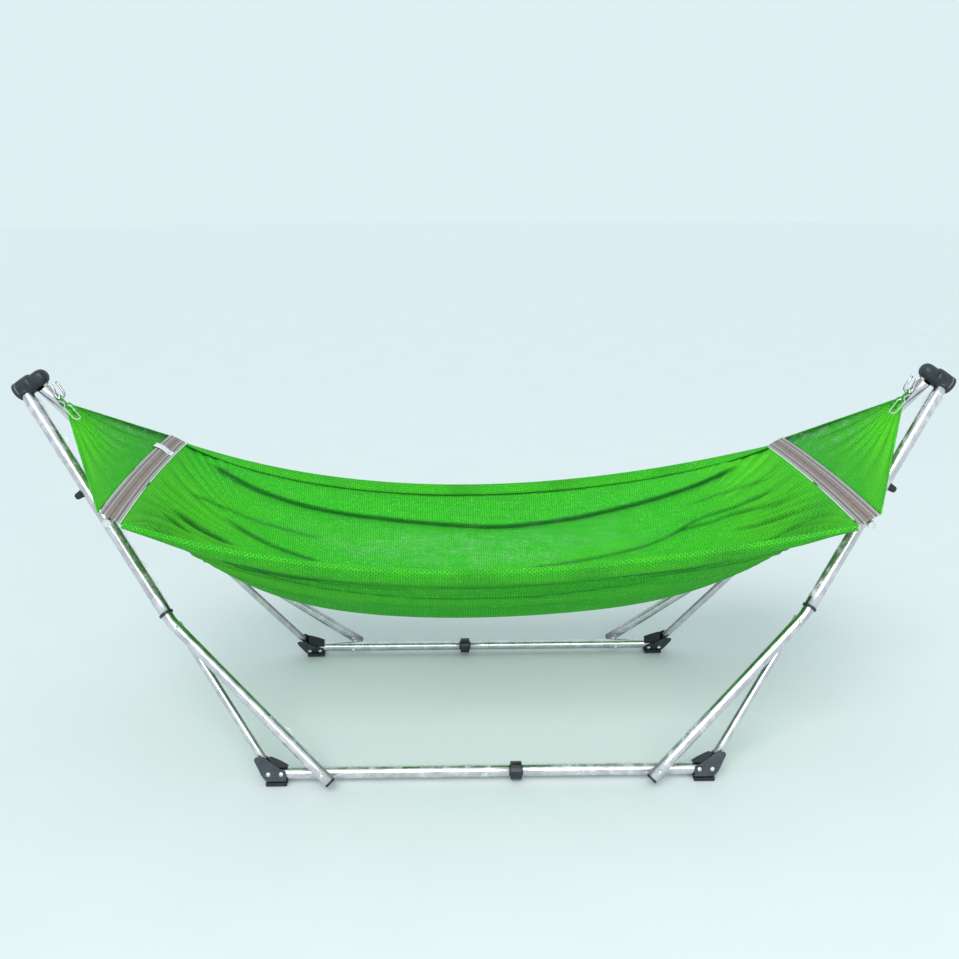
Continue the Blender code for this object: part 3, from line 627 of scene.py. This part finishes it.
def panel(side):
    """An end panel: its pleats deepen from the band towards the hook."""
    r, a = grid(np.linspace(0, 1, 70) ** 0.9, np.linspace(-1, 1, 110))
    base = panel_surface(side, r, a)
    gather = 0.0055 * np.sin(math.pi * np.clip(r, 0, 1)) ** 0.6 * (0.15 + r)
    phase = a * 24 + 1.3 * np.sin(a * 5)
    pleats = np.sin(phase) * gather * np.clip(r * 2.2, 0, 1)
    pleats += 0.002 * ripple(r, a, 6, 31, 7.0, 30.0) * np.clip(4 * r, 0, 1) * (1 - r)
    points = base + normals(base) * pleats[..., None]
    sheer_and_shade = np.clip(0.85 - 1.05 * r + 0.45 * a, 0.05, 1.0)
    # painted shade: dark in the pleats, at the rear edge and along a line beside it
    painted_shade = np.clip(np.sin(phase + math.pi) - 0.55, 0, 1) * r * 0.8
    painted_shade += np.exp(-((a - 0.96) / 0.10) ** 2) * 0.9
    painted_shade += 0.7 * np.exp(-((a - 0.74 + 0.1 * r) / 0.022) ** 2) * np.clip(2 * r, 0, 1)
    # painted light: brighter towards the hook and the front edge, in random patches
    painted_light = np.clip(0.45 + 0.55 * r + 0.45 * ripple(r, a, 6, 33, 5.0, 9.0) - 0.2 * a, 0, 1)
    return points, arc_lengths(base), {"sheer_and_shade": sheer_and_shade, "painted_shade": np.clip(painted_shade, 0, 1),
                                       "painted_light": painted_light}


def net_sheets():
    made = []
    for name, (points, uv, values) in (("net_bed", bed()), ("net_end_left", panel("left")),
                                       ("net_end_right", panel("right"))):
        made.append(grid_sheet(name, points, uv, KNIT, NET_UV, NET_THICKNESS, values))
    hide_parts("hammock_net")
    return made


# ---------------------------------------------------------------- hems of the net
HEM_POINTS = 300
# from a hem's inner edge over the rim and back: metres in from the rim, metres off the net
REAR_HEM = ((0.022, -0.0035), (0.012, -0.0045), (0.004, -0.004), (-0.002, -0.003),
            (-0.0045, 0.0), (-0.003, 0.0045), (0.003, 0.0075), (0.012, 0.0095),
            (0.022, 0.0105), (0.031, 0.0110), (0.035, 0.0100), (0.036, 0.0070),
            (0.0345, 0.0040))
FRONT_HEM = ((0.024, 0.0035), (0.014, 0.0055), (0.005, 0.006), (-0.003, 0.0045),
             (-0.0055, 0.0), (-0.004, -0.006), (0.004, -0.010), (0.014, -0.0125),
             (0.026, -0.0135), (0.040, -0.0140), (0.050, -0.0135), (0.0535, -0.0110),
             (0.0525, -0.0070), (0.050, -0.0045))


def surface_normal(surface, t, a):
    step = 1e-3
    return upward_units(np.cross(surface(t + step, a) - surface(t - step, a),
                                 surface(t, a + step) - surface(t, a - step)))


def hem(name, edge, narrowing, section):
    """A doubled strip folded over one rim (a = edge), narrower towards the bands."""
    t, column = grid(np.linspace(-0.995, 0.995, HEM_POINTS), np.arange(len(section)))
    s, n = [np.array(values)[None, :] * np.ones((HEM_POINTS, 1)) for values in zip(*section)]
    s = np.where(s > 0.008, s * (1 - narrowing * t ** 4), s)
    a = edge * (1 - s / metres_across(t, 1.0))
    flutter = 0.0018 * ripple(t, s, 6, 51 + edge, 60.0, 20.0) * np.clip(s / 0.03, 0, 1)
    place = bed_surface(t, a) + surface_normal(bed_surface, t, a) * (n + flutter)[..., None]
    # painted shade in dark wrinkles, on the turned-under edge and along the seam in the middle
    painted_shade = 0.45 * np.clip(ripple(t, s, 6, 61, 40.0, 9.0), 0, 1)
    painted_shade += 0.9 * np.clip((column - len(section) + 4) / 2, 0, 1)
    painted_shade += 0.5 * np.exp(-((column - 6.4) / 0.5) ** 2) * (0.5 + 0.5 * ripple(t, s, 3, 63, 9.0, 1.0))
    # a little painted light evenly over the whole hem
    values = {"sheer_and_shade": np.zeros(t.shape), "painted_shade": np.clip(painted_shade, 0, 1),
              "painted_light": np.full(t.shape, 0.15)}
    return grid_sheet(name, place, arc_lengths(place), HEM, NET_UV, NET_THICKNESS, values)


# ---------------------------------------------------------------- steel tubes
def side_matrix(where):
    """From a side frame's own plane to the world: turned for its side, and leaning out."""
    turn = 0.0 if where == "front" else math.pi
    return Matrix.Translation((0, 0, HEAD_HEIGHT)) @ Matrix.Rotation(
        turn, 4, "Z") @ Matrix.Rotation(-LEAN, 4, "X")


def tube(node, points, radius, body, sides=40):
    """An open steel tube with a real wall and eased mouths, in place of its CAD node."""
    around = frames_along(points)
    last = len(points) - 1
    inner = radius - WALL

    def ring(i, r, shift=0.0):
        tangent, first, second = around[i]
        return circle(points[i] + tangent * shift, first, second, r, sides)

    rings = [ring(0, radius - MOUTH_EASE), ring(0, radius, MOUTH_EASE)]
    rings += [ring(i, radius) for i in range(1, last)]
    rings += [ring(last, radius, -MOUTH_EASE), ring(last, radius - MOUTH_EASE)]
    rings += [ring(i, inner) for i in range(last, -1, -1)]
    bm = bmesh.new()
    skin(bm, rings, close_rings=True)
    made = add(node + "_tube", bm, STEEL, body)
    made.data.set_sharp_from_angle(angle=math.radians(50))
    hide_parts(node)


def leg_line(down, below):
    """A leg from inside its pole to its foot, with its bend as a smooth curve."""
    reach = LEG_BEND_RADIUS * math.tan((math.pi - (-down).angle(below)) / 2)
    top, bottom = BEND - down * reach, BEND + below * reach
    turn = [top.lerp(BEND, t / 12).lerp(BEND.lerp(bottom, t / 12), t / 12) for t in range(13)]
    start = BEND - down * (MOUTH_BACK + LEG_INSERT)
    return [start] + turn + between(bottom, LEG_END, 8)[1:]


# ---------------------------------------------------------------- heads and small fittings
# turned outlines: radius, distance along the axis
FRONT_LOBE = ((0.0262, -0.0290), (0.0276, -0.0276), (0.0278, -0.0200), (0.0272, -0.0190),
              (0.0240, -0.0190), (0.0240, -0.0174), (0.0266, -0.0170), (0.0274, -0.0150),
              (0.0280, 0.0000), (0.0277, 0.0170), (0.0266, 0.0245), (0.0236, 0.0285),
              (0.0180, 0.0300))
REAR_LOBE = ((0.0200, -0.0272), (0.0222, -0.0262), (0.0234, -0.0180), (0.0238, -0.0080),
             (0.0236, 0.0030), (0.0222, 0.0120), (0.0188, 0.0190), (0.0130, 0.0240),
             (0.0060, 0.0262))
LOBES = {"front": FRONT_LOBE, "rear": REAR_LOBE}
POLE_SOCKET = ((0.0185, -0.004), (0.0212, 0.004), (0.0206, 0.033), (0.0196, 0.0365),
               (0.0180, 0.0365), (0.0178, 0.028))
HEAD_SEAM = ((0.0243, -0.0188), (0.0268, -0.0186), (0.0268, -0.0178), (0.0243, -0.0176))
SCREW_HEAD = ((0.0068, 0.0), (0.0068, 0.0014), (0.0058, 0.0032), (0.0036, 0.0042),
              (0.0012, 0.0045))
PIN_BUSH = ((0.0062, 0.0), (0.0085, 0.0008), (0.0088, 0.0060), (0.0075, 0.0095),
            (0.0048, 0.0100))
# side outline of the wedge pad: x from its outer corner inwards, z above the rail's centre
WEDGE = ((0.004, 0.034), (-0.001, 0.044), (0.010, 0.0405), (0.033, 0.030), (0.050, 0.0205),
         (0.050, 0.0172), (0.020, 0.0172))
WEDGE_MIDDLE = (0.024, 0.028)


def head_moulding(name, where, side, pin, towards):
    """The tilted, rounded head, fatter than the bare CAD barrel, with its socket in front."""
    body = where + "_frame"
    inward = Vector((-side * math.cos(LOBE_TILT), 0, math.sin(LOBE_TILT)))
    x, z = LOBE_CENTRES[where]
    lobe = Vector((side * x, 0.0, z))
    bm = bmesh.new()
    lathe(bm, LOBES[where], lobe, inward)
    if where == "front":
        lathe(bm, POLE_SOCKET, pin, towards)
    cap = add(name + "_head_moulding", bm, BLACK, body)
    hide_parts(name + "_head_cap")
    if where == "front":
        bm = bmesh.new()
        lathe(bm, HEAD_SEAM, lobe, inward)
        add(name + "_head_seam", bm, THREAD, body)


def rail_screw(name, body, local, across):
    """The two heads of the second screw through a foot bracket."""
    bm = bmesh.new()
    for facing in (-1, 1):
        spot = Vector((SECOND_SCREW_X, RAIL_IN + facing * BRACKET_CHEEK, RAIL_Z))
        lathe(bm, SCREW_HEAD, local(spot), across * facing, 20)
    add(name + "_rail_screw", bm, ZINC, body)


def bracket_wedge(name, body, local):
    """A rubber pad between the cheeks of a foot bracket, with eased edges."""
    middle_x, middle_z = WEDGE_MIDDLE
    rings = []
    for depth, scale in ((-0.0158, 0.94), (-0.0148, 1.0), (0.0148, 1.0), (0.0158, 0.94)):
        rings.append([local(Vector((FOOT_SCREW_X - middle_x - (x - middle_x) * scale,
                                    RAIL_IN + depth,
                                    RAIL_Z + middle_z + (z - middle_z) * scale)))
                      for x, z in WEDGE])
    bm = bmesh.new()
    skin(bm, rings)
    add(name + "_bracket_wedge", bm, RUBBER, body, smooth=False)


def half_frame(where, side):
    """Pole, leg, strut, head and small fittings on one half of a side frame."""
    place, body = side_matrix(where), where + "_frame"
    front = where == "front"
    mirrored = side if front else -side
    name = WORDS[side] + "_" + where

    def local(p):
        return place @ Vector((p[0] * mirrored, p[1], p[2]))

    pin = Vector((HALF_LENGTH + (HEAD_OFFSET if front else -HEAD_OFFSET), 0, 0))
    down = (BEND - pin).normalized()
    mouth = BEND - down * MOUTH_BACK
    pole = between(local(pin + down * POLE_TOP[where]), local(mouth), 12)
    tube(name + "_pole", pole, POLE_RADIUS, body)
    leg = [local(p) for p in leg_line(down, (LEG_END - BEND).normalized())]
    tube(name + "_leg", leg, LEG_RADIUS, body)
    line = (STRUT_TOP - STRUT_FOOT).normalized()
    strut = between(local(STRUT_FOOT - line * 0.010), local(STRUT_TOP + line * 0.014), 8)
    tube(name + "_strut", strut, STRUT_RADIUS, body, sides=32)
    towards = (local(mouth) - local(pin)).normalized()
    head_moulding(name, where, side, local(pin), towards)
    across = (local(pin + Vector((0, 1, 0))) - local(pin)).normalized()
    rail_screw(name, body, local, across)
    bracket_wedge(name, body, local)
    return pole, leg


def rail(where):
    """The long and the short piece of a side frame's rail."""
    place, body = side_matrix(where), where + "_frame"
    ends = Vector((-RAIL_END, RAIL_IN, RAIL_Z)), Vector((RAIL_END, RAIL_IN, RAIL_Z))
    split, gap = Vector((RAIL_SPLIT, RAIL_IN, RAIL_Z)), Vector((0.0005, 0, 0))
    long = between(place @ ends[0], place @ (split - gap), 10)
    short = between(place @ (split + gap), place @ ends[1], 8)
    tube(where + "_rail_long", long, RAIL_RADIUS, body)
    tube(where + "_rail_short", short, RAIL_RADIUS, body)
    return long, short


# ---------------------------------------------------------------- protective film
FILM_ROUND = 16
FILM_ACROSS_FLAP = 5
FILM_LINE_POINTS = 500


def film_round(k, share, turn, bag, phases):
    """Angle and looseness of the film at step k round the tube."""
    angle = turn + k / FILM_ROUND * 2 * math.pi
    crinkle = math.sin(3 * angle + 60 * share + phases[0]) * math.sin(
        47 * share + phases[1] + k)
    billow = math.exp(-((share - 0.09) / 0.05) ** 2) * (
        0.7 + 0.3 * math.sin(3 * angle + 40 * share))
    return angle, 0.0010 + 0.0013 * abs(crinkle) + bag * billow


def film_flap(reach, share, turn, height, phases):
    """Angle and looseness at a share of the way across the free flap."""
    sway = 0.10 * math.sin(31 * share + phases[2])
    twist = 0.22 * reach * math.sin(70 * share + phases[5])
    flutter = 0.55 + 0.45 * math.sin(23 * share + phases[3]) * math.sin(57 * share + phases[4])
    return turn + 2 * math.pi + sway + twist, 0.0015 + height * reach * flutter


def crumple(points, radius, seed, name, turn, flap, spans, bag=0.0):
    """Loose clear film round stretches of a tube, with a fluttering flap along one side."""
    random = np.random.RandomState(seed)
    for number, (first, last) in enumerate(spans):
        line, length = evenly(points, FILM_LINE_POINTS)
        around = frames_along(line)
        phases = random.uniform(0, 6.28, 8)
        bm, rows = bmesh.new(), []
        for share in np.linspace(first, last, max(24, int(190 * (last - first)))):
            i = min(FILM_LINE_POINTS - 1, int(share * (FILM_LINE_POINTS - 1)))
            centre, (_, side, over) = line[i], around[i]
            edge = min(1.0, (share - first) / 0.02 + 0.3, (last - share) / 0.02 + 0.3)
            spots = [film_round(k, share, turn, bag, phases) for k in range(FILM_ROUND + 1)]
            spots += [film_flap((k + 1) / FILM_ACROSS_FLAP, share, turn, flap * edge, phases)
                      for k in range(FILM_ACROSS_FLAP)]
            rows.append([bm.verts.new(centre + (side * math.cos(angle) + over * math.sin(angle))
                                      * (radius + loose)) for angle, loose in spots])
        for one, two in zip(rows, rows[1:]):
            for k in range(FILM_ROUND + FILM_ACROSS_FLAP):
                bm.faces.new((one[k], one[k + 1], two[k + 1], two[k]))
        made = add(f"{name}_film_{number + 1}", bm, FILM, "front_frame")


def films(halves, rails):
    """The film still on the front tubes; it bags out under the heads."""
    for side, word in WORDS.items():
        pole, leg = halves["front", side]
        outer = math.pi if side < 0 else 0.0
        crumple(pole, POLE_RADIUS, 61 + side, word + "_front_pole", outer, 0.015,
                ((0.055, 0.52), (0.60, 0.97)), bag=0.005)
        crumple(leg[1:], LEG_RADIUS, 71 + side, word + "_front_leg", outer, 0.012,
                ((0.62, 0.94),))
    long, short = rails["front"]
    crumple(long, RAIL_RADIUS, 81, "front_rail_long", 2.2, 0.010, ((0.10, 0.55), (0.62, 0.90)))
    crumple(short, RAIL_RADIUS, 82, "front_rail_short", 2.2, 0.010, ((0.15, 0.80),))


# ---------------------------------------------------------------- bands and label
STITCH_ROWS = (-0.44, -0.26, 0.26, 0.44)
STITCHES = 130
LABEL_A = 0.605


def webbing_band(side):
    centre, along, up, normal = strip_frame(side)
    a, w = grid(np.linspace(-1, 1, 120), np.linspace(-0.5, 0.5, 25))
    place = (centre + along * (a * (NET_HALF_WIDTH + 0.004))[..., None]
             + up * (w * BAND_WIDTH + BAND_BOW * (1 - a * a))[..., None])
    lift = 0.0035 + 0.0012 * ripple(a, w, 6, 41, 9.0, 5.0) + 0.0012 * np.cos(w * math.pi)
    place += normal * lift[..., None]
    uv = np.stack([a * NET_HALF_WIDTH, w + 0.5], -1)
    made = grid_sheet(side + "_band", place, uv, WEBBING, "band", BAND_THICKNESS)
    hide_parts(side + "_webbing_band")
    return made


def band_stitching(side):
    """Four rows of stitches, each a short thread that stands a little off the band."""
    centre, along, up, normal = [Vector(x) for x in strip_frame(side)]
    bm = bmesh.new()
    for row in STITCH_ROWS:
        for i in range(STITCHES):
            a = -0.985 + 1.97 * i / STITCHES
            middle = (centre + along * (a * NET_HALF_WIDTH) + normal * 0.0062
                      + up * (row * BAND_WIDTH + BAND_BOW * (1 - a * a)))
            rod(bm, [middle - along * 0.0018, middle - along * 0.001 + normal * 0.0004,
                     middle + along * 0.001 + normal * 0.0004, middle + along * 0.0018],
                0.00045, 5)
    return add(side + "_band_stitching", bm, THREAD, "hammock")


def blank_label():
    centre, along, up, normal = strip_frame("left")
    across, reach = grid(np.linspace(-0.021, 0.021, 9), np.linspace(-0.027, 0.037, 28))
    a = LABEL_A + across / NET_HALF_WIDTH
    lift = 0.0078 + 0.0022 * np.sin(reach * 95) + 0.0010 * np.sin(across * 300)
    place = (centre + along * (a * NET_HALF_WIDTH)[..., None]
             + up * (reach + BAND_BOW * (1 - a ** 2))[..., None] + normal * lift[..., None])
    blank = grid_sheet("blank_label", place, arc_lengths(place), LABEL, "label", 0.0006)


# ---------------------------------------------------------------- gather cords and hooks
def gather_cords(side):
    """Edge cords of an end panel, the whipping of its gather, and the loop over the hook."""
    word = WORDS[side]
    rest = Vector((side * HOOK_X, 0.0, HOOK_BEND_Z - HOOK_BEND_RADIUS))
    tip = Vector((side * APEX.x, 0, APEX.z))
    away = (rest - tip).normalized()
    flank = Vector((0, 1, 0))
    lift = away.cross(flank)
    bm = bmesh.new()
    for edge in (-1, 1):
        r = np.linspace(0.01, 0.985, 60)[:, None]
        edge_line = panel_surface(word, r, np.full(r.shape, float(edge)))[:, 0]
        rod(bm, [Vector(p) for p in edge_line], 0.0024, 8)
    rod(bm, [tip - away * 0.030, tip - away * 0.018, tip - away * 0.004, tip + away * 0.004],
        [0.0150, 0.0115, 0.0085, 0.0070], 16)
    for number in range(6):
        around = tip - away * (0.016 - 0.0032 * number)
        radius = 0.0118 - 0.0005 * number
        rod(bm, [around + (flank * math.cos(x) + lift * math.sin(x)) * radius + away * 0.0004 * x
                 for x in [2 * math.pi * k / 16 for k in range(17)]], 0.0016, 6)
    angles = [math.radians(200 - 400 * k / 24) for k in range(25)]
    eye = [rest + flank * (math.sin(x) * 0.0068) + away * (math.cos(x) * 0.0075) for x in angles]
    rod(bm, [tip + flank * 0.004] + [p for p in eye if (p - tip).length > 0.010]
        + [tip - flank * 0.004], 0.0022, 8)
    cords = add(word + "_gather_cords", bm, KNIT, "hammock")
    # the knit reads these three values; on the cords they stay at zero
    for key in ("sheer_and_shade", "painted_shade", "painted_light"):
        cords.data.attributes.new(key, "FLOAT", "POINT")


def pin_bush(side):
    bm = bmesh.new()
    lathe(bm, PIN_BUSH, Vector((side * 1.2625, 0, HEAD_HEIGHT)), Vector((-side, 0, 0)), 24)
    add(WORDS[side] + "_pin_bush", bm, CREAM, "hooks")


def j_hook(side):
    """A bent hook whose tip leans back towards the head."""
    bend = [math.radians(25 - 195 * k / 16) for k in range(17)]
    line = [(1.335, HEAD_HEIGHT), (1.250, HEAD_HEIGHT), (1.2425, 1.0470)]
    line += [(HOOK_X + HOOK_BEND_RADIUS * math.cos(x), HOOK_BEND_Z + HOOK_BEND_RADIUS * math.sin(x))
             for x in bend]
    line += [(1.2125, 1.0300), (1.2200, 1.0420), (1.2285, 1.0565)]
    bm = bmesh.new()
    rod(bm, [Vector((side * x, 0, z)) for x, z in line], HOOK_ROD_RADIUS, 16)
    made = add(WORDS[side] + "_j_hook", bm, STEEL, "hooks")
    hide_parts(WORDS[side] + "_hook")


# ---------------------------------------------------------------- build the pieces
bed_sheet, *end_sheets = net_sheets()
rear_hem = hem("net_rear_hem", 1, 0.35, REAR_HEM)
front_hem = hem("net_front_hem", -1, 0.45, FRONT_HEM)

halves, rails = {}, {}
for where in ("front", "rear"):
    for side in WORDS:
        halves[where, side] = half_frame(where, side)
    rails[where] = rail(where)
films(halves, rails)

for side in BANDS:
    stitching = band_stitching(side)
    webbing_band(side)
blank_label()
for side, end_sheet in zip(WORDS, end_sheets):
    gather_cords(side)
    pin_bush(side)
    j_hook(side)


# ---------------------------------------------------------------- camera, floor and light
CAMERA_PLACE = (-0.0655, -2.8517, 1.5999)
CAMERA_PITCH, CAMERA_YAW, CAMERA_ROLL = [math.radians(x) for x in (16.495, 0.871, -0.232)]
CAMERA_LENS = 37.81


def direction(yaw, pitch):
    return Vector((math.sin(yaw) * math.cos(pitch), math.cos(yaw) * math.cos(pitch),
                   -math.sin(pitch)))


def camera():
    forward = direction(CAMERA_YAW, CAMERA_PITCH)
    level = Vector((math.cos(CAMERA_YAW), -math.sin(CAMERA_YAW), 0))
    upward = level.cross(forward)
    right = math.cos(CAMERA_ROLL) * level + math.sin(CAMERA_ROLL) * upward
    up = -math.sin(CAMERA_ROLL) * level + math.cos(CAMERA_ROLL) * upward
    made = bpy.data.objects.new("camera", bpy.data.cameras.new("camera"))
    made.data.sensor_width = 36.0
    made.data.lens = CAMERA_LENS
    made.data.clip_end = 60.0
    made.matrix_world = Matrix.Translation(CAMERA_PLACE) @ Matrix(
        (right, up, -forward)).transposed().to_4x4()
    bpy.context.scene.collection.objects.link(made)
    bpy.context.scene.camera = made


def area_light(name, place, target, size, power):
    made = bpy.data.objects.new(name, bpy.data.lights.new(name, "AREA"))
    made.data.shape = "RECTANGLE"
    made.data.size, made.data.size_y = size
    made.data.energy = power
    made.location = place
    made.rotation_euler = (Vector(target) - Vector(place)).to_track_quat("-Z", "Y").to_euler()
    bpy.context.scene.collection.objects.link(made)


def floor():
    bm = bmesh.new()
    bmesh.ops.create_circle(bm, cap_ends=True, segments=96, radius=40.0)
    g = Graph("pale_floor", 0.6)
    g.colour(g.ramp(g.noise(g.place(), 3.0, 5.0), (0.3, (0.640, 0.676, 0.684)),
                    (0.7, (0.656, 0.692, 0.700))))
    made = add("floor", bm, g.material, smooth=False)
    made.location.z = -0.0005


def world():
    made = bpy.data.worlds.new("pale_room")
    made.use_nodes = True
    back = made.node_tree.nodes["Background"]
    back.inputs["Color"].default_value = (0.74, 0.87, 0.90, 1.0)
    back.inputs["Strength"].default_value = 1.0
    bpy.context.scene.world = made


def sun(name, turn, power, spread):
    made = bpy.data.objects.new(name, bpy.data.lights.new(name, "SUN"))
    made.data.energy = power
    made.data.angle = math.radians(spread)
    made.rotation_euler = [math.radians(x) for x in turn]
    bpy.context.scene.collection.objects.link(made)


camera()
floor()
world()
sun("soft_key", (38, -14, 0), 1.5, 35)
area_light("front_fill", (0.6, -4.2, 2.6), (0.0, 0.0, 0.5), (3.2, 1.2), 60.0)
bpy.context.scene.view_settings.view_transform = "Standard"
